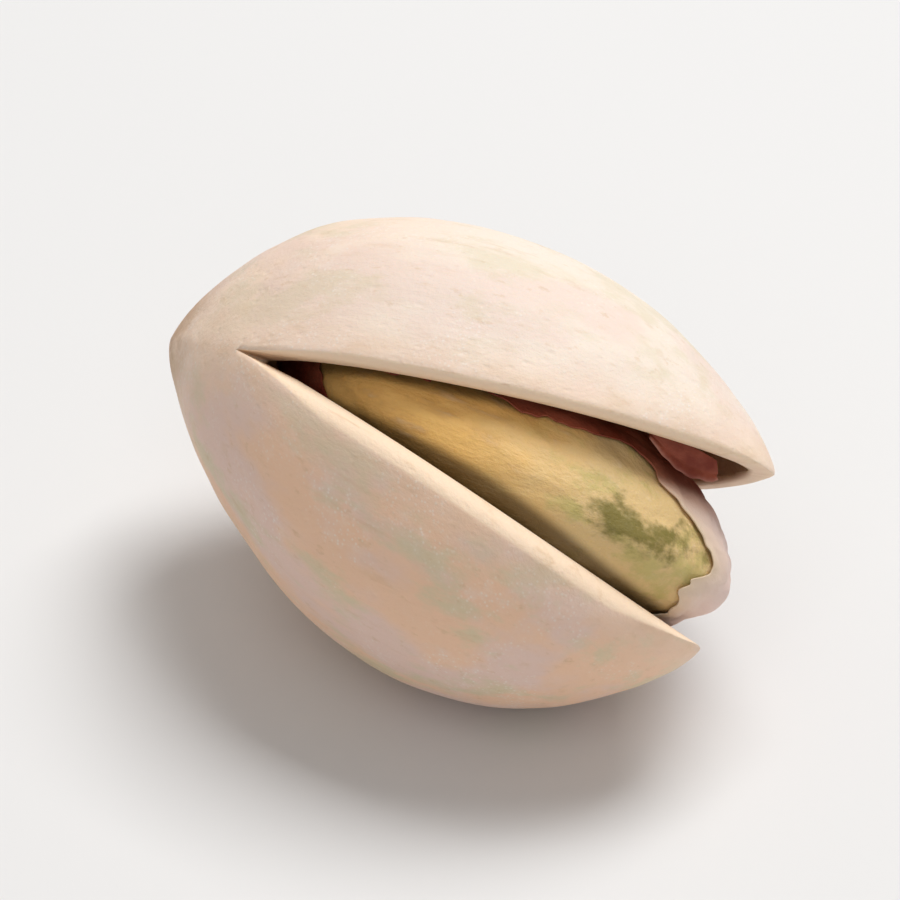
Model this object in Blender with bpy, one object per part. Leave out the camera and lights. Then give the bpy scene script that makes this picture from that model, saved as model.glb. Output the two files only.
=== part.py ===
"""A pistachio in its split shell, lying on a table with the split facing up and forward.

The nut frame has X along the nut from stem end to tip, Z towards the open seam (the belly seam) and Y across
the seam, from the front valve to the back valve. The whole nut is then rolled about X to lie as it rests.
"""

import math

import bmesh
import bpy
from mathutils import Matrix, Vector

# Driving dimensions of the shell, in metres
NUT_LENGTH = 0.0200
HALF_WIDTH = 0.0066  # from the nut's axis to either seam
FRONT_HALF_DEPTH = 0.0060  # from the seam plane to the front valve's belly, with the shell shut
BACK_HALF_DEPTH = 0.0061
BOW = 0.0003  # how far the middle of the axis bulges away from the open seam
RIDGE = 0.0004  # how far each seam stands up from the round of the belly, within the half-width
RIDGE_REACH = 0.0026  # how far from the seam plane its flanks start to rise
WALL = 0.0008
STEM_WALL = 0.0013
TIP_WALL = 0.0009

# How the shell swells along its length: where it is fullest, as a share from the stem end, and how much it tapers
# to its stem end and to its tip, from 0.5 for a round end to 1 for a nearly pointed one
SEAM_SWELL = (0.48, 0.88, 0.76)
BACK_SWELL = (0.35, 0.88, 0.95)
FRONT_SWELL = (0.48, 1.00, 0.95)
STEM_CURVE = 2.15  # how full the flank is between the fullest place and the stem end
TIP_CURVE = 2.2

# The split, which opens the two valves like a beak and leaves them joined at the stem end
TIP_GAP = 0.0056
SPLIT_START = 0.0047  # on the nut's axis
SPLIT_SKEW = 0.0014  # the open seam splits this much nearer the stem end, and the far seam this much later
SPLIT_EASE = 0.12  # share of the split over which its slope builds up
LEAST_HALF_GAP = 0.00002

# The kernel, which lies loose in the shell
KERNEL_LENGTH = 0.0159
KERNEL_START = 0.0038  # from the shell's stem end
KERNEL_HALF_WIDTH = 0.0047
KERNEL_HALF_DEPTH = 0.0033
KERNEL_WIDEST_AT = 0.48
KERNEL_RISE = 0.0005  # how far it lies from the nut's axis towards the open seam
KERNEL_DROOP = 0.00025  # how far its tip sinks into the front valve, away from the open seam
KERNEL_LEAN = (0.0008, -0.00085)  # how far its stem end and its tip lie towards the back valve

# The papery skin on the kernel, and the flake of it that stuck to the shell
SKIN = 0.00012
SKIN_GAP = 0.0001
WINDOW_CENTRE = math.radians(66)  # how far round from the kernel's tip the torn window is
WINDOW_TURN = math.radians(12)  # how far it is turned round the kernel's axis, towards the front valve
WINDOW_RADIUS = math.radians(50)
WINDOW_STRETCH = 0.10  # how much longer than wide the window is
TEAR_WAVER = 0.10
FLAKE_SPAN = (0.76, 0.88)  # rows of the back valve, as shares from stem end to tip
FLAKE_ANGLE = math.radians(16)  # from the open seam to the flake's upper edge
FLAKE_FALL = Vector((0.0003, -0.0009, -0.0006))  # from its upper edge to its lower one, at its widest

# How the nut rests
ROLL = math.radians(40)  # from the open seam straight up, towards the front
FLAT_DEPTH = 0.00026  # how much of the belly the small resting spot takes off

# Mesh fineness
SHELL_ROWS = 32
VALVE_STEPS = 22
KERNEL_ROWS = 24
KERNEL_STEPS = 30
SKIN_ROWS = 16
FLAKE_STEPS = 6

OUTSIDE, INSIDE = 0, 1
BACK, FRONT = 1, -1


def clear_scene():
    for obj in list(bpy.data.objects):
        bpy.data.objects.remove(obj)


def swell(along, shape):
    """Half-size of the shell as a share of its greatest, at a share of its length from the stem end."""
    fullest_at, stem_taper, tip_taper = shape
    if along < fullest_at:
        return (1 - (1 - along / fullest_at) ** STEM_CURVE) ** stem_taper
    return max(0.0, 1 - ((along - fullest_at) / (1 - fullest_at)) ** TIP_CURVE) ** tip_taper


def pole_spacing(row):
    """Spaces rows 0 to 1 closer together at the two ends."""
    return (1 - math.cos(math.pi * row)) / 2


def half_gap(x, z):
    """How far the split has pushed a valve away from the seam plane."""
    start = SPLIT_START - SPLIT_SKEW * z / HALF_WIDTH
    opened = max(0.0, (x - start) / (NUT_LENGTH - start))
    eased = opened**2 / (2 * SPLIT_EASE) if opened < SPLIT_EASE else opened - SPLIT_EASE / 2
    return TIP_GAP / 2 * eased / (1 - SPLIT_EASE / 2)


def wall_point(valve, layer, row, angle):
    """A point on the outside or inside of a valve. The angle runs from the open seam, 0, to the far seam, pi."""
    along = pole_spacing(row)
    x = STEM_WALL * layer + (NUT_LENGTH - (STEM_WALL + TIP_WALL) * layer) * along
    half_depth, depth_shape = (BACK_HALF_DEPTH, BACK_SWELL) if valve == BACK else (FRONT_HALF_DEPTH, FRONT_SWELL)
    depth_swell, width_swell = swell(along, depth_shape), swell(along, SEAM_SWELL)
    y = (half_depth - WALL * layer) * depth_swell * math.sin(angle)
    z = (HALF_WIDTH - RIDGE - WALL * layer) * width_swell * math.cos(angle)
    flank = max(0.0, 1 - y / (RIDGE_REACH * depth_swell)) if y else 1.0
    z += math.copysign(RIDGE * width_swell * flank**2, math.cos(angle))
    y += half_gap(x, z)
    z -= BOW * math.sin(math.pi * x / NUT_LENGTH)
    return Vector((x, valve * y, z))


def split_row(angle):
    """The last row at which the seam at this angle still holds the valves together."""
    return next(
        row - 1
        for row in range(SHELL_ROWS)
        for point in [wall_point(BACK, OUTSIDE, row / SHELL_ROWS, angle)]
        if point.y > LEAST_HALF_GAP and row > 1
    )


class ShellBuilder:
    """Makes the shell's mesh from a grid on each valve, sharing points where the valves are joined."""

    def __init__(self):
        self.mesh = bmesh.new()
        self.points = {}
        self.joined_to = {0: split_row(0.0), VALVE_STEPS: split_row(math.pi)}

    def point(self, valve, layer, row, step):
        """The mesh point at a grid place. Both ends of the nut are poles, and the unsplit seams are shared."""
        shared = row == 0 or row <= self.joined_to.get(step, -1)
        key = (0 if shared else valve, layer, row, step if 0 < row < SHELL_ROWS else "pole")
        if key not in self.points:
            place = wall_point(valve, layer, row / SHELL_ROWS, math.pi * step / VALVE_STEPS)
            if shared:
                place.y = 0.0
            elif step in self.joined_to:
                place.y = valve * max(abs(place.y), LEAST_HALF_GAP)
            self.points[key] = self.mesh.verts.new(place)
        return self.points[key]

    def face(self, corners):
        """A face of three or four corners, leaving out any that fall on the same point."""
        different = list(dict.fromkeys(corners))
        if len(different) > 2:
            self.mesh.faces.new(different)

    def add_walls(self):
        for valve in (BACK, FRONT):
            for layer in (OUTSIDE, INSIDE):
                for row in range(SHELL_ROWS):
                    for step in range(VALVE_STEPS):
                        corners = ((row, step), (row, step + 1), (row + 1, step + 1), (row + 1, step))
                        self.face([self.point(valve, layer, *corner) for corner in corners])

    def add_rims(self):
        """Closes each valve's edge between its outside and its inside, from where the seam splits to the tip."""
        for valve in (BACK, FRONT):
            for step, joined_to in self.joined_to.items():
                for row in range(joined_to, SHELL_ROWS):
                    places = ((OUTSIDE, row), (OUTSIDE, row + 1), (INSIDE, row + 1), (INSIDE, row))
                    self.face([self.point(valve, layer, at, step) for layer, at in places])

    def finished(self):
        self.add_walls()
        self.add_rims()
        bmesh.ops.recalc_face_normals(self.mesh, faces=self.mesh.faces)
        return self.mesh


def resting_turn():
    """Turns the nut frame to how the nut lies."""
    return Matrix.Rotation(ROLL, 4, "X")


def cut_resting_spot(mesh):
    """Takes a thin slice off the lowest part of the belly, which leaves the small flat face that it rests on."""
    up = resting_turn().inverted() @ Vector((0, 0, 1))
    lowest = min(vertex.co.dot(up) for vertex in mesh.verts)
    everything = [*mesh.verts, *mesh.edges, *mesh.faces]
    plane_point = up * (lowest + FLAT_DEPTH)
    bmesh.ops.bisect_plane(mesh, geom=everything, plane_co=plane_point, plane_no=-up, clear_outer=True)
    rim = [edge for edge in mesh.edges if edge.is_boundary]
    bmesh.ops.contextual_create(mesh, geom=rim)
    bmesh.ops.recalc_face_normals(mesh, faces=mesh.faces)


def kernel_swell(along):
    """Half-width of the kernel as a share of its greatest. Its stem end is slimmer than its tip end."""
    if along < KERNEL_WIDEST_AT:
        return (1 - (1 - along / KERNEL_WIDEST_AT) ** 2.1) ** 0.72
    return max(0.0, 1 - ((along - KERNEL_WIDEST_AT) / (1 - KERNEL_WIDEST_AT)) ** 2.5) ** 0.62


def kernel_point(direction):
    """The point on the kernel that stands for a point on a ball whose axis X is the kernel's own."""
    along = (1 + direction.x) / 2
    around = math.atan2(direction.y, direction.z)
    lean = KERNEL_LEAN[0] + (KERNEL_LEAN[1] - KERNEL_LEAN[0]) * along
    x = KERNEL_START + KERNEL_LENGTH * along
    y = KERNEL_HALF_DEPTH * kernel_swell(along) * math.sin(around) + lean
    sag = KERNEL_RISE * math.sin(math.pi * along) - KERNEL_DROOP * along**2
    z = KERNEL_HALF_WIDTH * kernel_swell(along) * math.cos(around) + sag
    return Vector((x, y, z))


def ring_mesh(rings, first_end, last_end):
    """A skin over rings of points. An end given as None stays open, and another closes to its point."""
    mesh = bmesh.new()
    made = [[mesh.verts.new(place) for place in ring] for ring in rings]
    for near, far in zip(made, made[1:]):
        for i in range(len(near)):
            mesh.faces.new((near[i - 1], near[i], far[i], far[i - 1]))
    for end, ring in ((first_end, made[0]), (last_end, made[-1])):
        if end is not None:
            pole = mesh.verts.new(end)
            for i in range(len(ring)):
                mesh.faces.new((ring[i - 1], ring[i], pole))
    bmesh.ops.recalc_face_normals(mesh, faces=mesh.faces)
    return mesh


def ball_direction(polar, around):
    """A direction at an angle from +X, turned round X from +Z towards +Y."""
    return Vector((math.cos(polar), math.sin(polar) * math.sin(around), math.sin(polar) * math.cos(around)))


def kernel_mesh():
    """The kernel as rings of points between its tip and its stem end."""
    rings = [
        [
            kernel_point(ball_direction(math.pi * row / KERNEL_ROWS, math.tau * step / KERNEL_STEPS))
            for step in range(KERNEL_STEPS)
        ]
        for row in range(1, KERNEL_ROWS)
    ]
    return ring_mesh(rings, kernel_point(Vector((1, 0, 0))), kernel_point(Vector((-1, 0, 0))))


def skin_mesh():
    """The kernel's surface from the torn window, which faces the open seam, round to the far side.

    Its rings are centred on the window, and the first is the window's edge, which wavers.
    """
    to_window = Matrix.Rotation(WINDOW_TURN, 3, "X") @ Matrix.Rotation(-WINDOW_CENTRE, 3, "Y")
    rings = []
    for row in range(SKIN_ROWS):
        ring = []
        for step in range(KERNEL_STEPS):
            around = math.tau * step / KERNEL_STEPS
            waver = TEAR_WAVER * (math.sin(3 * around + 1) + 0.6 * math.sin(7 * around))
            edge = WINDOW_RADIUS * (1 + waver + WINDOW_STRETCH * math.cos(2 * around))
            from_window = edge + (math.pi - edge) * row / SKIN_ROWS
            ring.append(kernel_point(to_window @ ball_direction(from_window, around)))
        rings.append(ring)
    mesh = ring_mesh(rings, None, kernel_point(to_window @ Vector((-1, 0, 0))))
    mesh.normal_update()
    stood_off = [(vertex, vertex.co + vertex.normal * SKIN_GAP) for vertex in mesh.verts]
    for vertex, place in stood_off:
        vertex.co = place
    return mesh


def flake_mesh():
    """A scrap of skin that stuck just under the back valve's open edge and hangs down towards the kernel."""
    mesh = bmesh.new()
    grid = []
    for i in range(FLAKE_STEPS + 1):
        share = i / FLAKE_STEPS
        wall = wall_point(BACK, INSIDE, FLAKE_SPAN[0] + (FLAKE_SPAN[1] - FLAKE_SPAN[0]) * share, FLAKE_ANGLE)
        upper = wall + (Vector((wall.x, 0, 0)) - wall).normalized() * SKIN_GAP * 3
        fall = FLAKE_FALL * (0.55 + 0.45 * math.sin(math.pi * share))
        grid.append([mesh.verts.new(upper + fall * j / FLAKE_STEPS) for j in range(FLAKE_STEPS + 1)])
    for near, far in zip(grid, grid[1:]):
        for j in range(FLAKE_STEPS):
            mesh.faces.new((near[j], near[j + 1], far[j + 1], far[j]))
    bmesh.ops.recalc_face_normals(mesh, faces=mesh.faces)
    return mesh


def material(name, colour, roughness):
    """A plain finish."""
    made = bpy.data.materials.new(name)
    made.use_nodes = True
    shader = made.node_tree.nodes["Principled BSDF"]
    shader.inputs["Base Color"].default_value = (*colour, 1)
    shader.inputs["Roughness"].default_value = roughness
    shader.inputs["Metallic"].default_value = 0.0
    return made


def add_part(name, mesh, finish, parent):
    """Turns a bmesh into a smooth-shaded object that lies with the nut."""
    data = bpy.data.meshes.new(name)
    mesh.to_mesh(data)
    mesh.free()
    data.materials.append(finish)
    data.shade_smooth()
    data.set_sharp_from_angle(angle=math.radians(40))
    obj = bpy.data.objects.new(name, data)
    bpy.context.scene.collection.objects.link(obj)
    obj.parent = parent
    return obj


def thicken(obj, thickness):
    """Gives a sheet its thickness, on the side that its faces point to."""
    solidify = obj.modifiers.new("thickness", "SOLIDIFY")
    solidify.thickness = thickness
    solidify.offset = 1.0


def stand_on_ground(nut, shell):
    """Moves the nut so that the shell's resting spot is at height 0 and its box is centred on the origin."""
    corners = [resting_turn() @ vertex.co for vertex in shell.data.vertices]
    low = Vector(min(corner[axis] for corner in corners) for axis in range(3))
    high = Vector(max(corner[axis] for corner in corners) for axis in range(3))
    nut.location = (-(low.x + high.x) / 2, -(low.y + high.y) / 2, -low.z)


def main():
    clear_scene()
    nut = bpy.data.objects.new("nut", None)
    bpy.context.scene.collection.objects.link(nut)
    nut.rotation_euler = (ROLL, 0, 0)

    shell_mesh = ShellBuilder().finished()
    cut_resting_spot(shell_mesh)
    shell = add_part("shell", shell_mesh, material("shell", (0.72, 0.58, 0.43), 0.55), nut)
    stand_on_ground(nut, shell)

    add_part("kernel", kernel_mesh(), material("kernel", (0.36, 0.34, 0.08), 0.5), nut)
    skin = add_part("kernel_skin", skin_mesh(), material("skin", (0.42, 0.22, 0.16), 0.6), nut)
    thicken(skin, SKIN)
    flake = add_part("skin_flake", flake_mesh(), skin.data.materials[0], nut)
    thicken(flake, SKIN)


main()
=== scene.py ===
"""One pistachio in its split shell, dressed for a studio picture.

The nut's own frame has X along the nut from its stem end to its tips, Y across the seam plane towards
the back valve, and Z towards the open seam. It is rolled about X to lie as it rests. Sizes are in metres.
"""

import logging
import math
from collections.abc import Sequence
from dataclasses import dataclass
from enum import Enum
from typing import Any

import bmesh
import bpy
import numpy as np
from mathutils import Matrix, Vector, noise


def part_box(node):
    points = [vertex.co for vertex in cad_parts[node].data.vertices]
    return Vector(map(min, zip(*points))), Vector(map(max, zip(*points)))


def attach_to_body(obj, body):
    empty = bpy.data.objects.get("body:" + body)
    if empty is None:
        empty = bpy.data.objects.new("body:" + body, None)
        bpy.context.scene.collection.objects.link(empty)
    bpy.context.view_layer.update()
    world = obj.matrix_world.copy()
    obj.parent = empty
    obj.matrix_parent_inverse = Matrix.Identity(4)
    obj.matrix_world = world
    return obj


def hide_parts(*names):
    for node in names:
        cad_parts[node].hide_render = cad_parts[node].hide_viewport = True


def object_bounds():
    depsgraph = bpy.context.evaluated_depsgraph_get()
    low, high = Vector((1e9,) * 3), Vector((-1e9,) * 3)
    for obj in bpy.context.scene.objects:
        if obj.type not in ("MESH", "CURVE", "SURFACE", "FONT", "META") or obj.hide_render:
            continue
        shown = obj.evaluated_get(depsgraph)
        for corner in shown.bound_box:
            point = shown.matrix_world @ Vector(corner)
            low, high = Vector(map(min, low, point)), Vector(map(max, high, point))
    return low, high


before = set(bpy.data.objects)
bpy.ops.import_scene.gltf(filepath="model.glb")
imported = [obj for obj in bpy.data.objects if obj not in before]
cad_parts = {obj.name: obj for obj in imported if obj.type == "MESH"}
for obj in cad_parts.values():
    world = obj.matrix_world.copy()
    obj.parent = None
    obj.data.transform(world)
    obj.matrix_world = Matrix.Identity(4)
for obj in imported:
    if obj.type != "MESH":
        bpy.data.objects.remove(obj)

MM = 0.001
TINY = 1e-9  # keeps a division off zero at the two ends
CAD_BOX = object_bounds()
ROLL = math.radians(40)  # from the open seam straight up, towards the front

Array = np.ndarray
Span = tuple[float, float]
Colour = tuple[float, float, float]
Piece, Material, Socket = bpy.types.Object, bpy.types.Material, bpy.types.NodeSocket
log = logging.getLogger("pistachio")


class Valve(Enum):
    """The two halves of the shell, as the side of the seam plane that each is on."""

    BACK = 1
    FRONT = -1

    def of(self, pair: tuple[Any, Any]) -> Any:
        """This valve's own one of a pair of values, the back valve's and the front valve's."""
        return pair[self is Valve.FRONT]


class Slot(Enum):
    """The record's material slots."""

    SHELL = "shell"
    KERNEL = "kernel"
    SKIN = "skin"


def lumps(places: Array, size: float, seed: float = 0.0) -> Array:
    """Smooth noise over points.

    Args:
        places: Points, as an array whose last axis is X, Y and Z.
        size: How far apart the lumps are, in metres.
        seed: Shifts the pattern to another.

    Returns:
        A value from about -1 to 1 for each point.
    """
    spots = (places / size + seed).reshape(-1, 3).tolist()
    return np.array([noise.noise(spot) for spot in spots]).reshape(places.shape[:-1])


def ease(value: Array, low: float, high: float) -> Array:
    """0 below low, 1 above high, and a smooth rise between."""
    share = np.clip((value - low) / (high - low), 0, 1)
    return share * share * (3 - 2 * share)


def bell(offset: Array, reach: float) -> Array:
    """1 where the offset is 0, falling smoothly to nearly 0 at twice the reach."""
    return np.exp(-((offset / reach) ** 2))


# ---- forms


@dataclass(frozen=True)
class Relief:
    """A pattern that raises and sinks a surface, of lumps or of creases with sharp valleys."""

    height: float
    size: float
    seed: float
    stretch: float = 1.0
    creased: bool = False

    def over(self, places: Array) -> Array:
        """How far the surface stands out at each of its points, which is negative where it sinks."""
        pattern = lumps(places / np.array([self.stretch, 1.0, 1.0]), self.size, self.seed)
        return self.height * (np.abs(pattern) * 2 - 0.5 if self.creased else pattern)


@dataclass(frozen=True)
class Swell:
    """How one measure of the nut grows and shrinks along its length.

    A taper of 0.5 makes a round end, and one of 1 a nearly pointed end.
    """

    fullest_at: float
    stem_taper: float
    tip_taper: float
    stem_curve: float = 2.15
    tip_curve: float = 2.2

    def at(self, along: Array) -> Array:
        """The measure as a share of its greatest.

        Args:
            along: Shares of the length from the stem end.

        Returns:
            The measure at each of them.
        """
        to_stem = np.clip(1 - along / self.fullest_at, 0, 1) ** self.stem_curve
        to_tip = np.clip((along - self.fullest_at) / (1 - self.fullest_at), 0, 1) ** self.tip_curve
        stem_side, tip_side = (1 - to_stem) ** self.stem_taper, (1 - to_tip) ** self.tip_taper
        return np.where(along < self.fullest_at, stem_side, tip_side)


@dataclass(frozen=True)
class ShellForm:
    """The shell's shape in the nut's frame."""

    length: float = 20.0 * MM
    half_width: float = 6.6 * MM
    half_depth: Span = (6.1 * MM, 6.0 * MM)  # of the back valve and the front valve
    seam_swell: Swell = Swell(0.48, 0.88, 0.76)
    depth_swell: tuple[Swell, Swell] = (Swell(0.35, 0.88, 0.95), Swell(0.48, 1.00, 0.95))
    bow: float = 0.3 * MM
    ridge: float = 0.4 * MM
    ridge_reach: float = 2.6 * MM
    ridge_round: float = 0.55 * MM
    stem_round: float = 0.22 * MM
    tip_round: float = 0.16 * MM
    wall: float = 0.8 * MM
    stem_wall: float = 1.3 * MM
    tip_wall: float = 0.9 * MM
    tip_gap: float = 5.6 * MM
    split_start: float = 5.0 * MM
    split_skew: float = 1.4 * MM
    split_ease: float = 0.12
    pout: float = 0.22 * MM
    pout_reach: float = 1.5 * MM
    pout_most: float = 0.5  # of the half gap
    slope_step: float = 0.002

    def blunted(self, x: Array) -> Array:
        """Distances along the nut, with its two ends worn round."""
        from_stem = np.hypot(x, self.stem_round)
        return self.length - np.hypot(self.length - from_stem, self.tip_round)

    def half_gap(self, x: Array, z: Array) -> Array:
        """How far the split has pushed a valve from the seam plane.

        Args:
            x: Distances from the stem end.
            z: Heights towards the open seam, which splits sooner than the far one.

        Returns:
            Half the gap at each place.
        """
        start = self.split_start - self.split_skew * z / self.half_width
        opened = np.clip((x - start) / (self.length - start), 0, None)
        begun, steady = opened**2 / (2 * self.split_ease), opened - self.split_ease / 2
        eased = np.where(opened < self.split_ease, begun, steady)
        return self.tip_gap / 2 * eased / (1 - self.split_ease / 2)

    def shut(self, valve: Valve, layer: Array, along: Array, angle: Array) -> Array:
        """Points on the unsplit, straight shell.

        Args:
            valve: Which half.
            layer: 0 on the outside, 1 on the inside.
            along: Share of the length from the stem end.
            angle: From 0 at the open seam to pi at the far seam.

        Returns:
            Points, with Y positive on either valve.
        """
        deep, wide = valve.of(self.depth_swell).at(along), self.seam_swell.at(along)
        ends = (self.stem_wall + self.tip_wall) * layer
        x = self.blunted(self.stem_wall * layer + (self.length - ends) * along)
        y = (valve.of(self.half_depth) - self.wall * layer) * deep * np.sin(angle)
        rounded = np.hypot(y, self.ridge_round * deep)
        flank = np.clip(1 - rounded / (self.ridge_reach * np.maximum(deep, TINY)), 0, 1) ** 2
        z = (self.half_width - self.ridge - self.wall * layer) * wide * np.cos(angle)
        z = z + self.ridge * wide * flank * np.sign(np.cos(angle))
        return np.stack(np.broadcast_arrays(x, y, z), -1)

    def outward(self, valve: Valve, along: Array, angle: Array) -> Array:
        """Directions that point out of the shell.

        Args:
            valve: Which half.
            along: Share of the length from the stem end.
            angle: From 0 at the open seam to pi at the far seam.

        Returns:
            Unit directions, with Y positive on either valve.
        """
        swell, step = valve.of(self.depth_swell), self.slope_step
        slope = (swell.at(along + step) - swell.at(along - step)) / (2 * step * self.length)
        across, up = np.sin(angle) / valve.of(self.half_depth), np.cos(angle) / self.half_width
        way = np.stack(np.broadcast_arrays(-slope, across, up), -1)
        return way / np.linalg.norm(way, axis=-1, keepdims=True)

    def opened(self, valve: Valve, shut: Array) -> Array:
        """Moves points of the unsplit shell to where they are once it has split.

        Args:
            valve: Which half.
            shut: Points, with Y positive on either valve.

        Returns:
            The points in the nut's frame.
        """
        x, y, z = np.moveaxis(shut, -1, 0)
        gap = self.half_gap(x, z)
        arch = np.sin(math.pi * x / self.length)
        if valve is Valve.FRONT:
            near_edge = np.exp(-y / self.pout_reach) * np.clip(z / self.half_width, 0, 1)
            gap = gap - np.minimum(self.pout * arch, self.pout_most * gap) * near_edge
        return np.stack([x, valve.value * (y + gap), z - self.bow * arch], -1)


@dataclass(frozen=True)
class KernelForm:
    """The kernel's shape in the nut's frame, with its wrinkles."""

    start: float = 3.8 * MM
    length: float = 15.9 * MM
    half_width: float = 4.7 * MM
    half_depth: float = 3.3 * MM
    swell: Swell = Swell(0.48, 0.72, 0.62, 2.1, 2.5)
    rise: float = 0.5 * MM
    droop: float = 0.25 * MM
    lean: Span = (0.8 * MM, -0.85 * MM)
    keel: float = 0.10 * MM
    keel_reach: float = 0.30
    wrinkles: tuple[Relief, ...] = (
        Relief(0.090 * MM, 1.5 * MM, 3.1, 3.2, creased=True),
        Relief(0.0336 * MM, 0.75 * MM, 8.4, 1.6, creased=True),
        Relief(0.072 * MM, 3.4 * MM, 5.7),
    )

    def smooth(self, directions: Array) -> Array:
        """The kernel without its wrinkles.

        Args:
            directions: Unit directions from a ball's centre.

        Returns:
            The kernel's point for each of them.
        """
        along = (1 + directions[..., 0]) / 2
        around = np.arctan2(directions[..., 1], directions[..., 2])
        swell = self.swell.at(along)
        lean = self.lean[0] + (self.lean[1] - self.lean[0]) * along
        sag = self.rise * np.sin(math.pi * along) - self.droop * along**2
        y = self.half_depth * swell * np.sin(around) + lean
        z = self.half_width * swell * np.cos(around) + sag
        return np.stack([self.start + self.length * along, y, z], -1)

    def outward(self, directions: Array) -> Array:
        """Directions that point out of the kernel."""
        way = directions / np.array([self.length / 2, self.half_depth, self.half_width])
        return way / np.linalg.norm(way, axis=-1, keepdims=True)

    def wrinkled(self, directions: Array) -> Array:
        """The kernel as it really is: keeled, with long shallow wrinkles and finer ones across them.

        Args:
            directions: Unit directions from a ball's centre.

        Returns:
            The kernel's point for each of them.
        """
        places = self.smooth(directions)
        around = np.arctan2(directions[..., 1], directions[..., 2])
        belt = np.sqrt(np.clip(1 - directions[..., 0] ** 2, 0, 1))
        height = self.keel * bell(around, self.keel_reach) * belt
        height = height + sum(wrinkle.over(places) for wrinkle in self.wrinkles)
        return places + self.outward(directions) * height[..., None]


def ball_directions(polar: Array, around: Array) -> Array:
    """Directions at angles from +X, turned round X from +Z towards +Y."""
    parts = np.cos(polar), np.sin(polar) * np.sin(around), np.sin(polar) * np.cos(around)
    return np.stack(np.broadcast_arrays(*parts), -1)


@dataclass(frozen=True)
class Rest:
    """How the nut lies: rolled about its length, and placed where the shell's box is."""

    shell: ShellForm
    samples: int = 200

    def turned(self, places: Array) -> Array:
        """Points of the nut's frame, rolled."""
        return places @ np.array(Matrix.Rotation(ROLL, 3, "X")).T

    def offset(self) -> Array:
        """Finds where the shell's box puts the nut.

        Returns:
            The step from the rolled nut to its place in the frame.
        """
        rows = np.linspace(0, 1, self.samples)[:, None]
        turns = np.linspace(0, math.pi, self.samples)[None, :]
        halves = [self.shell.opened(valve, self.shell.shut(valve, 0.0, rows, turns)) for valve in Valve]
        places = self.turned(np.concatenate(halves)).reshape(-1, 3)
        box_low, box_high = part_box("shell")
        low, high = places.min(0), places.max(0)
        middle = (np.array(box_low) + np.array(box_high) - low - high) / 2
        return np.array([middle[0], middle[1], box_high.z - high[2]])

    def placed(self, places: Array) -> Array:
        """Lays points down as the nut rests. None goes below the ground.

        Args:
            places: Points of the nut's frame.

        Returns:
            The points in the row's frame.
        """
        world = self.turned(places) + self.offset()
        world[..., 2] = np.maximum(world[..., 2], 0.0)
        return world


# ---- meshes


def grid_faces(rows: int, columns: int, start: int = 0, closed: bool = False) -> list[tuple[int, ...]]:
    """Faces of a grid of points.

    Args:
        rows: Number of rows of points.
        columns: Points in a row.
        start: Index of the first point.
        closed: Whether the last column joins the first.

    Returns:
        Four corners for each face.
    """
    faces = []
    for row in range(rows - 1):
        for column in range(columns if closed else columns - 1):
            beside = (column + 1) % columns
            near, far = start + row * columns, start + (row + 1) * columns
            faces.append((near + column, near + beside, far + beside, far + column))
    return faces


def weld(piece: Piece, distance: float) -> None:
    """Merges the points of a mesh that fall together, drops loose ones, and turns its faces outwards.

    Args:
        piece: The object, whose mesh is changed.
        distance: How near points have to be to merge.
    """
    mesh = bmesh.new()
    mesh.from_mesh(piece.data)
    bmesh.ops.remove_doubles(mesh, verts=mesh.verts, dist=distance)
    bmesh.ops.dissolve_degenerate(mesh, edges=mesh.edges, dist=distance)
    loose = [point for point in mesh.verts if not point.link_faces]
    bmesh.ops.delete(mesh, geom=loose, context="VERTS")
    bmesh.ops.recalc_face_normals(mesh, faces=mesh.faces)
    mesh.to_mesh(piece.data)
    mesh.free()
    piece.data.shade_smooth()


@dataclass
class Surface:
    """Points and faces of a piece in the nut's frame, with what its material reads at each point."""

    places: Array
    faces: list[tuple[int, ...]]
    marks: dict[str, Array]
    nut_places: Array | None = None

    def to_object(
        self, name: str, rest: Rest, material: Material, merge: float = 0.0, thickness: float = 0.0
    ) -> Piece:
        """Makes the object where the nut rests.

        Args:
            name: The object's name.
            rest: How the nut lies.
            material: What it is dressed in.
            merge: How near points have to be to merge, or 0 for none.
            thickness: What a sheet gains on the side that its faces point to, or 0 for a solid.

        Returns:
            The new object, shaded smooth.
        """
        mesh = bpy.data.meshes.new(name)
        mesh.from_pydata(rest.placed(self.places.reshape(-1, 3)).tolist(), [], self.faces)
        own = self.places if self.nut_places is None else self.nut_places
        pattern = mesh.attributes.new("nut_place", "FLOAT_VECTOR", "POINT")
        pattern.data.foreach_set("vector", (own / MM).astype(np.float32).ravel())
        for mark, values in self.marks.items():
            made = mesh.attributes.new(mark, "FLOAT", "POINT")
            made.data.foreach_set("value", np.asarray(values, np.float32).ravel())
        mesh.shade_smooth()
        mesh.materials.append(material)
        piece = bpy.data.objects.new(name, mesh)
        bpy.context.scene.collection.objects.link(piece)
        if merge:
            weld(piece, merge)
        if thickness:
            solidify = piece.modifiers.new("thickness", "SOLIDIFY")
            solidify.thickness = thickness
            solidify.offset = 1.0
        return piece


# ---- shader tools


@dataclass(frozen=True)
class Grain:
    """A noise pattern in the nut's frame.

    A squeeze below 1 makes it that much longer along the nut, and its scale is in lumps to the millimetre.
    """

    squeeze: float
    shift: float
    scale: float
    detail: float = 3.0
    roughness: float = 0.55


@dataclass(frozen=True)
class Layer:
    """A colour laid over others where a grain rises from low to high.

    Its amount is the most that shows, and in_front is added to that on the front valve.
    """

    colour: Colour
    grain: Grain
    low: float
    high: float
    amount: float
    in_front: float = 0.0


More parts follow.
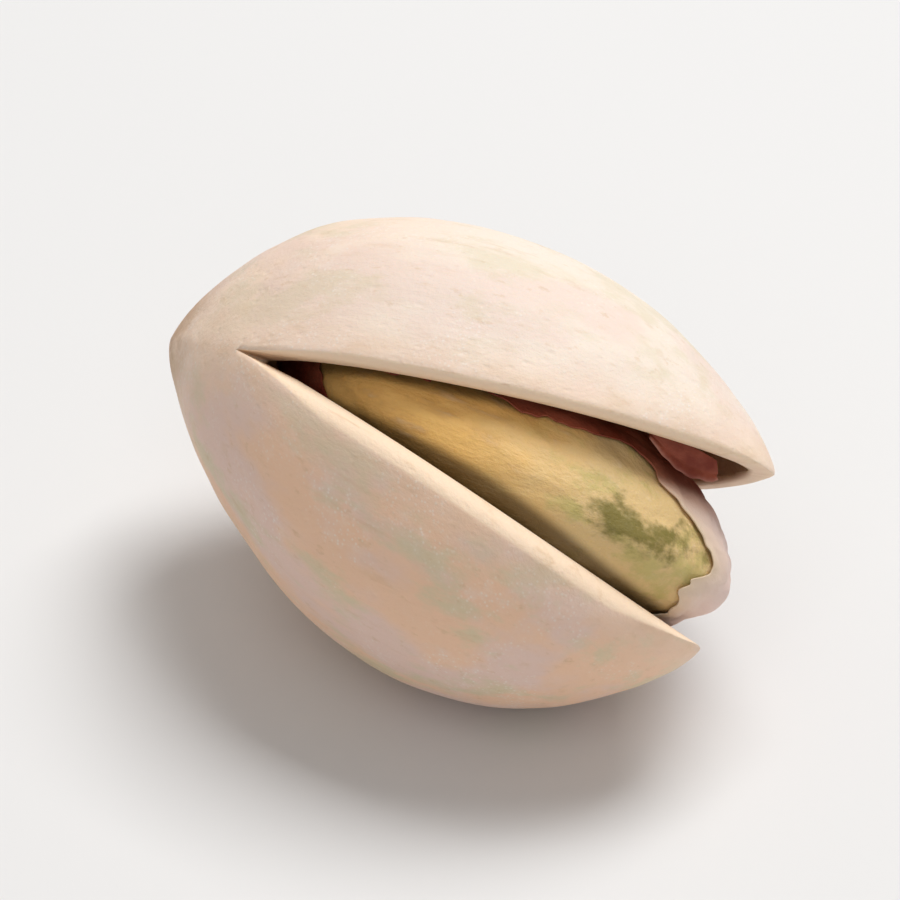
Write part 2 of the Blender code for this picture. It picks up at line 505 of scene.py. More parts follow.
class Signal:
    """A node's output that takes part in shader maths written as an expression."""

    def __init__(self, paint: "Paint", socket: Socket) -> None:
        """Wraps a socket of one of a paint's nodes."""
        self.paint = paint
        self.socket = socket

    def _math(self, operation: str, first: Any, second: Any) -> "Signal":
        """Adds a Math node over two values."""
        return self.paint.node("ShaderNodeMath", {"operation": operation}, {0: first, 1: second})

    def __add__(self, other: Any) -> "Signal":
        """This plus other."""
        return self._math("ADD", self, other)

    def __radd__(self, other: Any) -> "Signal":
        """Other plus this."""
        return self._math("ADD", other, self)

    def __sub__(self, other: Any) -> "Signal":
        """This minus other."""
        return self._math("SUBTRACT", self, other)

    def __rsub__(self, other: Any) -> "Signal":
        """Other minus this."""
        return self._math("SUBTRACT", other, self)

    def __mul__(self, other: Any) -> "Signal":
        """This times other."""
        return self._math("MULTIPLY", self, other)

    def __rmul__(self, other: Any) -> "Signal":
        """Other times this."""
        return self._math("MULTIPLY", other, self)

    def within(self, low: float, high: float) -> "Signal":
        """A mask that is 0 below low, 1 above high, and rises smoothly between."""
        sockets = {"Value": self, "From Min": low, "From Max": high}
        return self.paint.node("ShaderNodeMapRange", {"interpolation_type": "SMOOTHSTEP"}, sockets)


class Paint:
    """One material and the tools that build its nodes."""

    def __init__(self, name: str) -> None:
        """Starts a material with a plain Principled shader.

        Args:
            name: The material's name.
        """
        self.material = bpy.data.materials.new(name)
        self.material.use_nodes = True
        self.tree = self.material.node_tree
        self.shader = self.tree.nodes["Principled BSDF"]

    def node(self, kind: str, settings: dict[str, Any], sockets: dict[Any, Any], output: Any = 0) -> Signal:
        """Adds a node.

        Args:
            kind: The node's type.
            settings: Its properties, which are set before its sockets.
            sockets: A value or a signal for each input, by name or number.
            output: Which output to return.

        Returns:
            The output as a signal.
        """
        made = self.tree.nodes.new(kind)
        for name, value in settings.items():
            setattr(made, name, value)
        for key, value in sockets.items():
            self.feed(made.inputs[key], value)
        return Signal(self, made.outputs[output])

    def feed(self, socket: Socket, value: Any) -> None:
        """Sets an input to a value, or links a signal to it.

        Args:
            socket: The input.
            value: A signal, a number, a vector or a colour.
        """
        if isinstance(value, Signal):
            self.tree.links.new(value.socket, socket)
        elif isinstance(value, Sequence) and len(value) == 3 and socket.type == "RGBA":
            socket.default_value = (*value, 1.0)
        else:
            socket.default_value = value

    def mark(self, name: str, output: str = "Fac") -> Signal:
        """What a piece's mesh holds at each point under a name."""
        return self.node("ShaderNodeAttribute", {"attribute_name": name}, {}, output)

    def nut_place(self, grain: Grain) -> Signal:
        """The place in the nut's frame, in millimetres, squeezed and shifted for a grain."""
        sockets = {0: self.mark("nut_place", "Vector"), 1: (grain.squeeze, 1, 1), 2: (grain.shift,) * 3}
        return self.node("ShaderNodeVectorMath", {"operation": "MULTIPLY_ADD"}, sockets)

    def grain(self, grain: Grain, place: Signal | None = None) -> Signal:
        """Noise.

        Args:
            grain: The pattern.
            place: Where to read it, if not in the nut's frame.

        Returns:
            A signal from 0 to 1.
        """
        sockets = {
            "Vector": self.nut_place(grain) if place is None else place,
            "Scale": grain.scale,
            "Detail": grain.detail,
            "Roughness": grain.roughness,
        }
        return self.node("ShaderNodeTexNoise", {"noise_dimensions": "3D"}, sockets)

    def cells(self, grain: Grain) -> Signal:
        """Distance from the middle of scattered cells."""
        sockets = {"Vector": self.nut_place(grain), "Scale": grain.scale}
        return self.node("ShaderNodeTexVoronoi", {"feature": "F1"}, sockets)

    def blend(self, under: Any, over: Any, amount: Any) -> Signal:
        """A colour laid over another by an amount from 0 to 1."""
        return self.node("ShaderNodeMix", {"data_type": "RGBA"}, {0: amount, 6: under, 7: over}, 2)

    def lay(self, under: Any, layer: Layer, where: Signal | None = None) -> Signal:
        """Lays a layer over a colour.

        Args:
            under: The colour below.
            layer: What to lay.
            where: A mask that keeps the layer to a part of the piece.

        Returns:
            The colour with the layer on it.
        """
        mask = self.grain(layer.grain).within(layer.low, layer.high)
        if where is not None:
            mask = where * mask
        amount: Any = layer.amount
        if layer.in_front:
            amount = amount + layer.in_front * self.mark("front")
        return self.blend(under, layer.colour, mask * amount)

    def bump(self, height: Signal, depth: float) -> Signal:
        """A normal from a height, where a height of 1 stands for a depth in metres."""
        return self.node("ShaderNodeBump", {}, {"Height": height, "Distance": depth, "Strength": 1.0})

    def finish(self, **sockets: Any) -> Material:
        """Feeds the shader.

        Args:
            **sockets: A value or a signal for each of its sockets, named with _ for a space.

        Returns:
            The material.
        """
        for name, value in sockets.items():
            self.feed(self.shader.inputs[name.replace("_", " ")], value)
        return self.material


# ---- finishes


@dataclass(frozen=True)
class ShellFinish:
    """Dry hard shell: cream outside with faint long streaks and salt dust, tan inside, and painted shade on
    the front valve.
    """

    cream: Colour = (0.875, 0.765, 0.655)
    # painted shade: the front valve's darker, warmer copy of the cream
    shaded: Colour = (0.88, 0.585, 0.405)
    peach: Colour = (0.92, 0.70, 0.54)
    tan: Colour = (0.62, 0.40, 0.20)
    salt: Colour = (0.93, 0.88, 0.82)
    lip: Colour = (0.93, 0.72, 0.53)
    inside: Colour = (0.50, 0.30, 0.14)
    base_amount: float = 0.9
    seam_amount: float = 0.7
    salt_amount: float = 0.5
    blotches: Grain = Grain(0.6, 63.0, 0.9, 4.0, 0.6)
    fibres: Grain = Grain(0.16, 2.0, 3.2, 4.0, 0.6)
    fine: Grain = Grain(1.0, 33.0, 7.0, 4.0, 0.65)
    pits: Grain = Grain(0.6, 55.0, 2.4)
    drifts: Grain = Grain(1.0, 77.0, 0.45)
    crystals: Grain = Grain(1.0, 19.0, 6.5)
    dust: Grain = Grain(1.0, 91.0, 2.2, 5.0, 0.7)
    clouds: tuple[Layer, ...] = (
        Layer((0.80, 0.60, 0.53), Grain(0.5, 11.0, 0.32, 4.0), 0.44, 0.60, 0.45, in_front=0.35),
        Layer((0.68, 0.60, 0.40), Grain(0.45, 27.0, 0.55, 5.0, 0.62), 0.48, 0.64, 0.42, in_front=0.3),
        Layer(tan, Grain(0.10, 5.0, 2.6, 4.0, 0.6), 0.55, 0.80, 0.30),
        Layer(tan, Grain(0.5, 41.0, 3.4, 3.0, 0.6), 0.60, 0.74, 0.30),
    )
    seam_tan: Layer = Layer(tan, blotches, 0.40, 0.70, 0.25)
    stem_stain: Layer = Layer((0.44, 0.23, 0.09), blotches, 0.25, 0.60, 0.70)
    lip_fibres: Layer = Layer(tan, fibres, 0.52, 0.78, 0.45)
    inside_fibres: Layer = Layer(tan, fibres, 0.40, 0.70, 0.5)
    relief: float = 0.055 * MM

    def outside(self, paint: Paint) -> Signal:
        """Colours the outer surface, with the brown of the stem end, the tan along the seams and painted
        shade on the front valve.

        Args:
            paint: The material that is being made.

        Returns:
            The colour.
        """
        seam = paint.mark("seam")
        colour = paint.blend(self.cream, self.peach, paint.mark("base") * self.base_amount)
        # painted shade over the front valve
        colour = paint.blend(colour, self.shaded, paint.mark("front"))
        for cloud in self.clouds:
            colour = paint.lay(colour, cloud)
        colour = paint.blend(colour, self.peach, seam * self.seam_amount)
        colour = paint.lay(colour, self.seam_tan, seam)
        return paint.lay(colour, self.stem_stain, paint.mark("stem"))

    def salting(self, paint: Paint) -> Signal:
        """Scatters dried salt.

        Args:
            paint: The material that is being made.

        Returns:
            Where the salt is.
        """
        crystals = 1 - paint.cells(self.crystals).within(0.08, 0.40)
        dust = paint.grain(self.dust).within(0.45, 0.75)
        return paint.grain(self.drifts).within(0.42, 0.66) * (crystals * 0.75 + dust * 0.45)

    def material(self) -> Material:
        """Builds the material.

        Returns:
            The finished material.
        """
        paint = Paint("shell_finish")
        salt = self.salting(paint)
        colour = paint.blend(self.outside(paint), self.salt, salt * self.salt_amount)
        colour = paint.blend(colour, paint.lay(self.lip, self.lip_fibres), paint.mark("lip"))
        colour = paint.blend(colour, paint.lay(self.inside, self.inside_fibres), paint.mark("inside"))
        fine, fibres = paint.grain(self.fine), paint.grain(self.fibres)
        pits = paint.cells(self.pits).within(0.0, 0.30)
        height = fine * 0.40 + fibres * 0.40 + pits * 0.25 + salt * 0.08
        return paint.finish(
            Base_Color=colour,
            Roughness=0.52 + fine * 0.16 + salt * 0.2,
            Normal=paint.bump(height, self.relief),
            IOR=1.45,
            Specular_IOR_Level=0.35,
            Subsurface_Weight=0.08,
            Subsurface_Radius=(1.0, 0.6, 0.35),
            Subsurface_Scale=0.6 * MM,
        )


@dataclass(frozen=True)
class KernelFinish:
    """Bare kernel: golden tan towards the stem end, yellow green with an olive blotch towards the tip,
    painted shade along the split.
    """

    gold: Colour = (0.90, 0.54, 0.17)
    yellow_green: Colour = (0.76, 0.54, 0.25)
    olive: Colour = (0.15, 0.13, 0.012)
    # painted shade: near black strips along the shell's open edges
    painted_shade: Colour = (0.10, 0.055, 0.012)
    olive_amount: float = 0.85
    painted_shade_amount: float = 0.85
    drift: Grain = Grain(0.6, 7.0, 0.5, 4.0)
    mottle: Grain = Grain(0.5, 37.0, 1.3, 4.0, 0.6)
    veins: Grain = Grain(0.22, 23.0, 2.4, 4.0, 0.6)
    fine: Grain = Grain(1.0, 0.0, 6.0, 4.0, 0.65)
    amber_veins: Layer = Layer((0.62, 0.31, 0.07), veins, 0.46, 0.70, 0.6)
    pale_veins: Layer = Layer((0.84, 0.66, 0.42), veins, 0.54, 0.76, 0.4)
    green_blotches: Layer = Layer((0.50, 0.45, 0.13), Grain(0.6, 15.0, 0.9, 5.0, 0.6), 0.48, 0.66, 0.6)
    relief: float = 0.12 * MM

    def material(self) -> Material:
        """Builds the material.

        Returns:
            The finished material.
        """
        paint = Paint("kernel_finish")
        drift = (paint.grain(self.drift) - 0.5) * 0.35
        greening = (paint.mark("ripeness") + drift).within(0.56, 0.80)
        colour = paint.blend(self.gold, self.yellow_green, greening)
        colour = paint.lay(colour, self.amber_veins, 1 - greening)
        colour = paint.lay(colour, self.pale_veins)
        colour = paint.lay(colour, self.green_blotches, greening)
        mottle = (paint.grain(self.mottle) - 0.5) * 2.2
        spot = (paint.mark("spot") + mottle).within(0.35, 0.95)
        colour = paint.blend(colour, self.olive, spot * self.olive_amount)
        # painted shade where the kernel lies under the shell's open edges
        colour = paint.blend(colour, self.painted_shade, paint.mark("flank") * self.painted_shade_amount)
        fine = paint.grain(self.fine)
        return paint.finish(
            Base_Color=colour,
            Roughness=0.40 + fine * 0.2,
            Normal=paint.bump(fine * 0.3 + paint.grain(self.veins) * 0.7, self.relief),
            IOR=1.46,
            Specular_IOR_Level=0.4,
            Subsurface_Weight=0.15,
            Subsurface_Radius=(1.0, 0.8, 0.25),
            Subsurface_Scale=0.7 * MM,
        )


@dataclass(frozen=True)
class SkinFinish:
    """Papery seed coat: pale mauve where it faces out at the tip, pinkish to reddish brown elsewhere."""

    name: str = "skin_finish"
    mauve: Colour = (0.66, 0.39, 0.32)
    frost: Colour = (0.90, 0.66, 0.60)
    film: Colour = (0.74, 0.57, 0.38)
    pink: Colour = (0.34, 0.085, 0.045)
    russet: Colour = (0.17, 0.022, 0.008)
    film_amount: float = 0.8
    broad: Grain = Grain(0.5, 9.0, 0.6, 4.0)
    veins: Grain = Grain(0.20, 13.0, 2.6, 5.0, 0.62)
    fine: Grain = Grain(1.0, 29.0, 7.0, 4.0, 0.65)
    russet_veins: Layer = Layer(russet, veins, 0.56, 0.74, 0.5)
    relief: float = 0.06 * MM

    def material(self) -> Material:
        """Builds the material.

        Returns:
            The finished material.
        """
        paint = Paint(self.name)
        broad = paint.grain(self.broad)
        paleness = paint.mark("paleness")
        drifting = paleness + (broad - 0.5) * 0.5
        colour = paint.blend(self.russet, self.pink, broad.within(0.36, 0.62))
        colour = paint.blend(colour, self.mauve, drifting.within(0.20, 0.60))
        colour = paint.blend(colour, self.frost, drifting.within(0.55, 0.95))
        colour = paint.lay(colour, self.russet_veins, 1 - paleness)
        colour = paint.blend(colour, self.film, paint.mark("thin") * self.film_amount)
        fine = paint.grain(self.fine)
        return paint.finish(
            Base_Color=colour,
            Roughness=0.50 + fine * 0.18,
            Normal=paint.bump(paint.grain(self.veins) * 0.7 + fine * 0.3, self.relief),
            IOR=1.45,
            Specular_IOR_Level=0.4,
            Subsurface_Weight=0.10,
            Subsurface_Radius=(1.0, 0.5, 0.35),
            Subsurface_Scale=0.5 * MM,
        )


@dataclass(frozen=True)
class FloorFinish:
    """Plain pale floor with the faintest unevenness."""

    white: Colour = (0.78, 0.775, 0.77)
    grey: Colour = (0.76, 0.755, 0.75)
    cloud: Grain = Grain(1.0, 0.0, 25.0, 2.0)

    def material(self) -> Material:
        """Builds the material.

        Returns:
            The finished material.
        """
        paint = Paint("floor_finish")
        cloud = paint.grain(self.cloud, paint.node("ShaderNodeTexCoord", {}, {}, "Object"))
        colour = paint.blend(self.white, self.grey, cloud)
        return paint.finish(Base_Color=colour, Roughness=0.7, Specular_IOR_Level=0.2)


# ---- pieces


@dataclass
class Shell:
    """The hard shell: two valves grown together at the stem end, each with a rounded broken edge."""

    form: ShellForm
    rest: Rest
    finish: ShellFinish = ShellFinish()
    rows: int = 168
    turns: int = 104
    lip_steps: int = 10
    merge: float = 0.0001 * MM
    outer_round: Span = (0.28 * MM, 0.62 * MM)
    round_share: Span = (0.4, 0.9)  # the most that it takes of the half gap
    round_depth: float = 0.25  # the most that it takes of the valve's depth
    inner_round: float = 0.20 * MM
    round_power: float = 1.6
    steepest_lip: float = 0.9
    least_half_gap: float = 0.02 * MM
    reliefs: tuple[Relief, ...] = (
        Relief(0.10 * MM, 5.2 * MM, 1.3),
        Relief(0.045 * MM, 1.5 * MM, 6.2, 1.7),
        Relief(0.020 * MM, 0.75 * MM, 4.4, 9.0),
    )
    relief_fade: float = 0.25
    inside_relief: float = 0.4
    lip_ends: Span = (0.85, 1.0)
    inside_starts: Span = (0.8, 1.0)
    seam_reach: float = 1.2 * MM
    stem_fade: Span = (0.4 * MM, 2.4 * MM)
    base_fade: Span = (2.5 * MM, 11.0 * MM)
    front_rise: Span = (1.0 * MM, 5.0 * MM)

    def along(self) -> Array:
        """Shares of the length for the rows, closer together at the ends."""
        even = np.linspace(0, 1, self.rows + 1)
        return 0.5 * even + 0.5 * (1 - np.cos(math.pi * even)) / 2

    def seam_gap(self, along: Array, angle: float) -> Array:
        """Half the split's width along one seam, at the rows."""
        seam = self.form.shut(Valve.BACK, 0.0, along, angle)
        return self.form.half_gap(seam[..., 0], seam[..., 2])

    def joined_rows(self, angle: float) -> int:
        """The last row at which one seam still holds the valves together."""
        return int(np.argmax(self.seam_gap(self.along(), angle) > self.least_half_gap)) - 1

    def lip_angle(self, valve: Valve, layer: Array, along: Array, gap: Array) -> Array:
        """How far round from the seam plane the broken edge stands, which rounds its two corners.

        Args:
            valve: Which half.
            layer: 0 on the outside, 1 on the inside.
            along: Share of the length from the stem end.
            gap: Half the split's width there.

        Returns:
            Angles in radians.
        """
        widest = valve.of(self.form.half_depth) - self.form.wall * layer
        depth = widest * valve.of(self.form.depth_swell).at(along)
        most = np.minimum(valve.of(self.round_share) * gap, self.round_depth * depth)
        back = np.zeros(np.broadcast_shapes(layer.shape, along.shape))
        for radius, from_corner in ((valve.of(self.outer_round), layer), (self.inner_round, 1 - layer)):
            reach = np.clip(1 - from_corner * self.form.wall / radius, 0, 1)
            corner = 1 - (1 - reach**self.round_power) ** (1 / self.round_power)
            back = back + np.minimum(radius, most) * corner
        return np.arcsin(np.clip(back / np.maximum(depth, TINY), 0, self.steepest_lip))

    def relief(self, shut: Array, layer: Array, along: Array) -> Array:
        """How far the surface stands out from the smooth form: lumps, dimples and faint long ribs.

        Args:
            shut: Points of the unsplit shell.
            layer: 0 on the outside, 1 on the inside.
            along: Share of the length from the stem end.

        Returns:
            A height for each point.
        """
        fade = np.clip(self.form.seam_swell.at(along) / self.relief_fade, 0, 1)
        share = 1 - (1 - self.inside_relief) * layer
        return fade * share * sum(relief.over(shut) for relief in self.reliefs)

    def valve_grid(self, valve: Valve) -> tuple[Array, Array, Array, Array]:
        """One valve as a grid whose rows run round it: outside, far edge, inside and open edge.

        Args:
            valve: Which half.

        Returns:
            The points when shut, the layer of each column, and the row and turn shares of each point.
        """
        along = self.along()[:, None]
        edge = (1 - np.cos(math.pi * np.arange(1, self.lip_steps) / self.lip_steps)) / 2
        turn = np.linspace(0, 1, self.turns + 1)
        layers = np.concatenate([np.zeros_like(turn), edge, np.ones_like(turn), edge[::-1]])[None, :]
        turns = np.concatenate([turn, np.ones_like(edge), turn[::-1], np.zeros_like(edge)])[None, :]
        open_gap = self.seam_gap(along[:, 0], 0.0)[:, None]
        far_gap = self.seam_gap(along[:, 0], math.pi)[:, None]
        first = self.lip_angle(valve, layers, along, open_gap)
        last = math.pi - self.lip_angle(valve, layers, along, far_gap)
        angle = first + (last - first) * turns
        shut = self.form.shut(valve, layers, along, angle)
        height = self.relief(shut * np.array([1, valve.value, 1]), layers, along)
        return shut + self.form.outward(valve, along, angle) * height[..., None], layers, along, turns

    def valve_faces(self, start: int) -> list[tuple[int, ...]]:
        """The faces of one valve's grid, with no broken edge where the seams still hold.

        Args:
            start: Index of the valve's first point.

        Returns:
            Four corners for each face.
        """
        columns = 2 * (self.turns + 1) + 2 * (self.lip_steps - 1)
        far_edge = range(self.turns, self.turns + self.lip_steps)
        open_edge = range(columns - self.lip_steps, columns)
        far_joined, open_joined = self.joined_rows(math.pi), self.joined_rows(0.0)
        kept = []
        for number, face in enumerate(grid_faces(self.rows + 1, columns, start, closed=True)):
            row, column = divmod(number, columns)
            far_hidden = column in far_edge and row < far_joined
            if not far_hidden and not (column in open_edge and row < open_joined):
                kept.append(face)
        return kept

    def marks(self, valve: Valve, shut: Array, layers: Array, turns: Array) -> dict[str, Array]:
        """What the finish reads at each point of a valve.

        Args:
            valve: Which half.
            shut: Its points when shut.
            layers: The layer of each column.
            turns: How far round each column is, from 0 at the open seam to 1 at the far seam.

        Returns:
            Values for each mark's name.
        """
        x, from_seam = shut[..., 0], np.abs(shut[..., 1])
        layers, turns = np.broadcast_to(layers, x.shape), np.broadcast_to(turns, x.shape)
        on_edge = ((turns == 0) | (turns == 1)) & (layers > 0) & (layers < 1)
        return {
            "lip": np.where(on_edge, 1 - ease(layers, *self.lip_ends), 0.0),
            "inside": ease(layers, *self.inside_starts),
            "seam": bell(from_seam, self.seam_reach) * (1 - layers),
            "stem": (1 - ease(x, *self.stem_fade)) * (1 - layers),
            "base": 1 - ease(x, *self.base_fade),
            # where the front valve takes its painted shade and its extra mottle
            "front": ease(x, *self.front_rise) * (valve is Valve.FRONT),
        }

    def fit_seams(self, valve: Valve, opened: Array, turns: Array, first: Array) -> None:
        """Joins the seams to the first valve's while they hold, and keeps them off the seam plane beyond.

        Args:
            valve: Which half.
            opened: Its grid of points, which are moved.
            turns: How far round each column is, from 0 at the open seam to 1 at the far seam.
            first: The grid of the valve that was built first.
        """
        for share, angle in ((0.0, 0.0), (1.0, math.pi)):
            columns = np.flatnonzero(turns[0] == share)
            held = self.joined_rows(angle) + 1
            opened[:held, columns] = first[:held, columns] * np.array([1, 0, 1])
            apart = np.maximum(np.abs(opened[held:-1, columns, 1]), self.least_half_gap)
            opened[held:-1][:, columns, 1] = valve.value * apart

    def build(self) -> Piece:
        """Builds the shell's mesh and dresses it.

        Returns:
            The shell.
        """
        grids, faces, own, marks = [], [], [], []
        for valve in Valve:
            shut, layers, _, turns = self.valve_grid(valve)
            opened = self.form.opened(valve, shut)
            self.fit_seams(valve, opened, turns, grids[0] if grids else opened)
            faces += self.valve_faces(len(grids) * opened[..., 0].size)
            grids.append(opened)
            own.append(shut * np.array([1, valve.value, 1]))
            marks.append(self.marks(valve, shut, layers, turns))
        joined = {name: np.concatenate([part[name] for part in marks]) for name in marks[0]}
        surface = Surface(np.concatenate(grids), faces, joined, np.concatenate(own))
        return surface.to_object("pistachio_shell", self.rest, self.finish.material(), self.merge)


@dataclass
class Kernel:
    """The seed that lies loose in the shell."""

    form: KernelForm
    shell: ShellForm
    rest: Rest
    finish: KernelFinish = KernelFinish()
    rows: int = 170
    turns: int = 200
    merge: float = 0.001 * MM
    spot_place: Span = (17.7 * MM, -0.5 * MM)
    spot_size: Span = (1.7 * MM, 0.7 * MM)
    spot_rise: float = 1.0 * MM
    # painted shade strips on the kernel along the shell's open edges
    shade_centre: float = 13.6 * MM
    shade_length: float = 5.6 * MM
    front_shade_width: float = 0.85 * MM
    front_fade: Span = (-0.30 * MM, 0.15 * MM)
    back_shade_width: float = 0.30 * MM
    back_fade: Span = (-0.25 * MM, 0.10 * MM)
    back_share: float = 0.8

    def flank(self, places: Array) -> Array:
        """Marks the kernel's painted shade: dark strips along the two open edges of the shell, where it
        lies in their shade.

        Args:
            places: Points of the kernel.

        Returns:
            How far each lies in a strip, from 0 to 1.
        """
        gap = self.shell.half_gap(places[..., 0], places[..., 2])
        width = bell(places[..., 0] - self.shade_centre, self.shade_length)
        front = 1 - ease(gap + places[..., 1] - self.front_shade_width * width, *self.front_fade)
        back = 1 - ease(gap - places[..., 1] - self.back_shade_width * width, *self.back_fade)
        return np.maximum(front, self.back_share * back)

    def spot(self, places: Array) -> Array:
        """How far each point lies in the kernel's olive blotch, from 0 to 1."""
        from_spot = (places[..., :2] - np.array(self.spot_place)) / np.array(self.spot_size)
        return np.exp(-(from_spot**2).sum(-1)) * ease(places[..., 2], 0.0, self.spot_rise)

    def build(self) -> Piece:
        """Builds the kernel's mesh and dresses it.

        Returns:
            The kernel.
        """
        polar = np.linspace(0, math.pi, self.rows + 1)[:, None]
        around = (math.tau * np.arange(self.turns) / self.turns)[None, :]
        places = self.form.wrinkled(ball_directions(polar, around))
        ripeness = (places[..., 0] - self.form.start) / self.form.length
        # flank carries the painted shade along the split
        marks = {"ripeness": ripeness, "spot": self.spot(places), "flank": self.flank(places)}
        surface = Surface(places, grid_faces(self.rows + 1, self.turns, closed=True), marks)
        return surface.to_object("pistachio_kernel", self.rest, self.finish.material(), self.merge)


@dataclass
class KernelSkin:
    """The papery skin, with a torn window where the kernel shows through the split."""

    form: KernelForm
    rest: Rest
    finish: SkinFinish = SkinFinish()
    rows: int = 80
    turns: int = 220
    row_power: float = 1.6
    merge: float = 0.001 * MM
    thickness: float = 0.05 * MM
    stand_off: float = 0.065 * MM
    puckers: Relief = Relief(0.05 * MM, 0.6 * MM, 15.0, 1.4, creased=True)
    window_centre: float = math.radians(66)
    window_turn: float = math.radians(12)
    window_radius: float = math.radians(50)
    window_stretch: float = 0.10
    wide_tears: float = 0.10
    narrow_tears: float = 0.06
    tatters: tuple[Relief, ...] = (Relief(0.10, 0.22, 2.5), Relief(0.05, 0.08, 7.5))
    curl: float = 0.03 * MM
    curl_reach: float = 0.10
    fray: Relief = Relief(0.5, 1.1 * MM, 12.0)
    pale_from: Span = (0.80, 0.91)
    pale_until: Span = (0.2 * MM, 2.1 * MM)
    thin_reach: float = 0.30

    def edge(self, around: Array) -> Array:
        """Tears the window's edge.

        Args:
            around: Angles round the window's middle.

        Returns:
            The angle from the middle to the torn edge at each of them.
        """
        ring = np.stack([np.cos(around), np.sin(around), np.zeros_like(around)], -1)
        ragged = self.wide_tears * np.sin(3 * around + 1) + self.narrow_tears * np.sin(7 * around)
        ragged = ragged + sum(tatter.over(ring) for tatter in self.tatters)
        return self.window_radius * (1 + ragged + self.window_stretch * np.cos(2 * around))

    def build(self) -> Piece:
        """Builds the skin's mesh and dresses it.

        Returns:
            The skin.
        """
        around = (math.tau * np.arange(self.turns) / self.turns)[None, :]
        share = (np.arange(self.rows + 1)[:, None] / self.rows) ** self.row_power
        edge = self.edge(around)
        swung = Matrix.Rotation(self.window_turn, 3, "X") @ Matrix.Rotation(-self.window_centre, 3, "Y")
        directions = ball_directions(edge + (math.pi - edge) * share, around) @ np.array(swung).T
        places = self.form.wrinkled(directions)
        curl = self.curl * np.exp(-share * math.pi / self.curl_reach) * (0.5 + self.fray.over(places))
        lift = self.stand_off + self.puckers.over(places) + curl
        places = places + self.form.outward(directions) * lift[..., None]
        along = (places[..., 0] - self.form.start) / self.form.length
        at_tip = ease(along, *self.pale_from) * (1 - ease(places[..., 1], *self.pale_until))
        marks = {"paleness": at_tip, "thin": np.exp(-share * math.pi / self.thin_reach) * at_tip}
        surface = Surface(places, grid_faces(self.rows + 1, self.turns, closed=True), marks)
        material = self.finish.material()
        return surface.to_object("pistachio_kernel_skin", self.rest, material, self.merge, self.thickness)


@dataclass
class SkinFlake:
    """A scrap of skin stuck just under the back valve's open edge, hanging down towards the kernel."""

    form: ShellForm
    rest: Rest
    finish: SkinFinish = SkinFinish(name="flake_finish")
    steps: int = 56
    thickness: float = 0.08 * MM
    span: Span = (0.76, 0.88)
    angle: float = math.radians(16)
    stand_off: float = 0.3 * MM
    fall: tuple[float, float, float] = (0.3 * MM, -0.9 * MM, -0.6 * MM)
    least_fall: float = 0.55
    tatter: Relief = Relief(0.12, 0.35 * MM, 4.0)
    buckle: Relief = Relief(0.05 * MM, 0.5 * MM, 3.0)
    curl: float = 0.16 * MM
    curled: Span = (0.55, 1.0)
    curl_way: tuple[float, float, float] = (0.0, 0.3, 0.95)
    tip_paleness: float = 0.35

    def build(self) -> Piece:
        """Builds the flake's mesh and dresses it.

        Returns:
            The flake.
        """
        even = np.linspace(0, 1, self.steps)
        u, v = np.meshgrid(even, even, indexing="ij")
        row = self.span[0] + (self.span[1] - self.span[0]) * u
        along = (1 - np.cos(math.pi * row)) / 2
        inner = self.form.shut(Valve.BACK, np.ones_like(along), along, self.angle)
        wall = self.form.opened(Valve.BACK, inner)
        inward = wall * np.array([0, -1, -1])
        upper = wall + inward / np.linalg.norm(inward, axis=-1, keepdims=True) * self.stand_off
        hang = self.least_fall + (1 - self.least_fall) * np.sin(math.pi * u) + self.tatter.over(upper) * v
        places = upper + np.array(self.fall) * (hang * v)[..., None]
        lift = self.buckle.over(places) + self.curl * ease(v, *self.curled)
        places = places + lift[..., None] * np.array(self.curl_way)
        marks = {"paleness": self.tip_paleness * v**3}
        surface = Surface(places, grid_faces(self.steps, self.steps), marks)
        material = self.finish.material()
        return surface.to_object("pistachio_skin_flake", self.rest, material, thickness=self.thickness)


# ---- studio


@dataclass(frozen=True)
class Lamp:
    """A square soft lamp, hung in a direction from the nut. Its power is in watts."""

    name: str
    towards: tuple[float, float, float]
    side: float
    power: float
    distance: float = 0.5

    def hang(self) -> None:
        """Hangs the lamp so that it faces the nut."""
        way = Vector(self.towards)
        data = bpy.data.lights.new(self.name, "AREA")
        data.shape = "SQUARE"
        data.size = self.side
        data.energy = self.power
        lamp = bpy.data.objects.new(self.name, data)
        lamp.location = way.normalized() * self.distance
        lamp.rotation_euler = way.to_track_quat("Z", "Y").to_euler()
        bpy.context.scene.collection.objects.link(lamp)


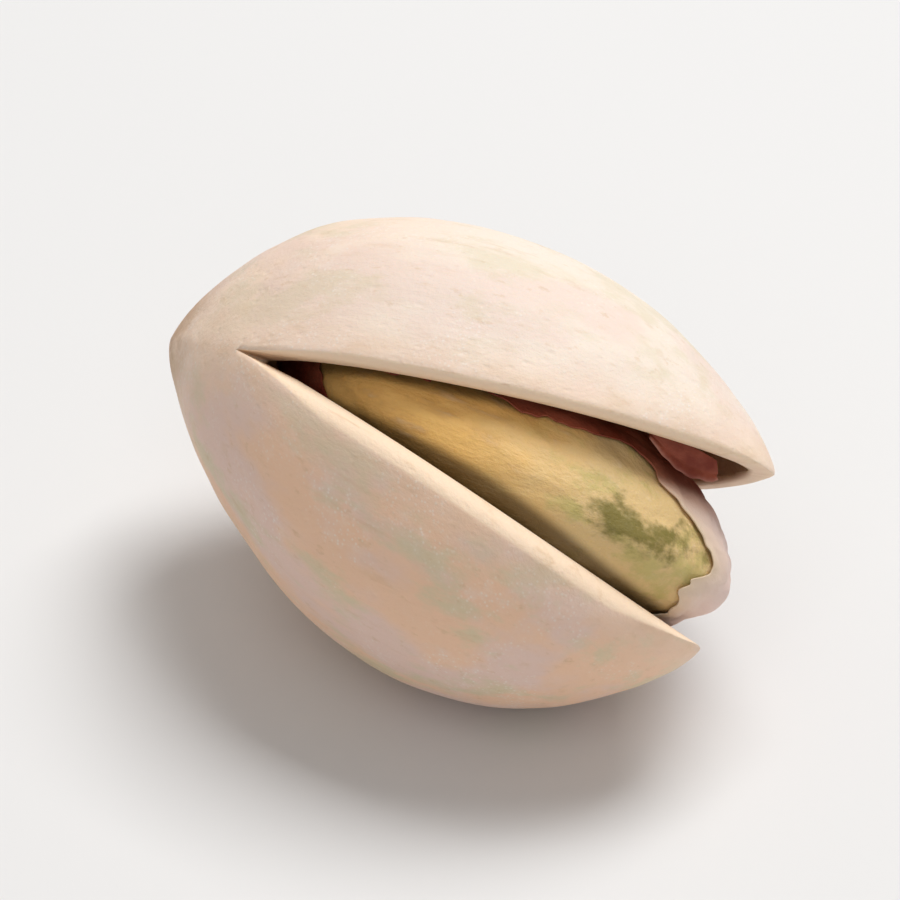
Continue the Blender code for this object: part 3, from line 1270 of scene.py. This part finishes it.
@dataclass
class Studio:
    """Pale floor, soft lamps and the camera."""

    azimuth: float = math.radians(31)
    elevation: float = math.radians(40)
    lens: float = 300.0
    sensor: float = 36.0
    view_width: float = 27.0 * MM
    nearest: float = 0.01
    floor_side: float = 1.6
    sky: float = 0.32
    sky_colour: Colour = (1.0, 0.98, 0.96)
    lamps: tuple[Lamp, ...] = (
        Lamp("key", (0.06, 0.42, 0.88), 0.26, 2.15),
        Lamp("fill", (0.25, -0.62, 0.75), 0.35, 0.36),
    )

    def floor(self) -> None:
        """Lays the floor."""
        half = self.floor_side / 2
        corners = [(-half, -half, 0), (half, -half, 0), (half, half, 0), (-half, half, 0)]
        mesh = bpy.data.meshes.new("floor")
        mesh.from_pydata(corners, [], [(0, 1, 2, 3)])
        mesh.materials.append(FloorFinish().material())
        floor = bpy.data.objects.new("floor", mesh)
        bpy.context.scene.collection.objects.link(floor)

    def world(self) -> None:
        """Sets the pale surround."""
        world = bpy.data.worlds.new("surround")
        world.use_nodes = True
        background = world.node_tree.nodes["Background"]
        background.inputs["Color"].default_value = (*self.sky_colour, 1.0)
        background.inputs["Strength"].default_value = self.sky
        bpy.context.scene.world = world

    def camera(self) -> None:
        """Places the camera so that the nut fills the middle of the frame."""
        low, high = (Vector(corner) for corner in CAD_BOX)
        back = Vector((
            math.sin(self.azimuth) * math.cos(self.elevation),
            -math.cos(self.azimuth) * math.cos(self.elevation),
            math.sin(self.elevation),
        ))
        data = bpy.data.cameras.new("camera")
        data.lens = self.lens
        data.sensor_width = self.sensor
        data.clip_start = self.nearest
        camera = bpy.data.objects.new("camera", data)
        camera.location = (low + high) / 2 + back * self.view_width * self.lens / self.sensor
        camera.rotation_euler = back.to_track_quat("Z", "Y").to_euler()
        bpy.context.scene.collection.objects.link(camera)
        bpy.context.scene.camera = camera

    def build(self) -> None:
        """Builds the whole studio."""
        self.floor()
        self.world()
        self.camera()
        for lamp in self.lamps:
            lamp.hang()
        bpy.context.scene.view_settings.view_transform = "Standard"


def attach(piece: Piece, node: str) -> None:
    """Puts a finished piece in place of its solid, on the nut's one body.

    Args:
        piece: The piece.
        node: The solid that it stands for.
    """
    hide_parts(node)
    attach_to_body(piece, "root")
    log.info("%s: %d points, %d faces", piece.name, len(piece.data.vertices), len(piece.data.polygons))


def main() -> None:
    """Builds the nut and its studio."""
    logging.basicConfig(level=logging.INFO, format="%(message)s")
    shell_form = ShellForm()
    kernel_form = KernelForm()
    rest = Rest(shell_form)
    attach(Shell(shell_form, rest).build(), "shell")
    attach(Kernel(kernel_form, shell_form, rest).build(), "kernel")
    attach(KernelSkin(kernel_form, rest).build(), "kernel_skin")
    attach(SkinFlake(shell_form, rest).build(), "skin_flake")
    Studio().build()


if __name__ == "__main__":
    main()
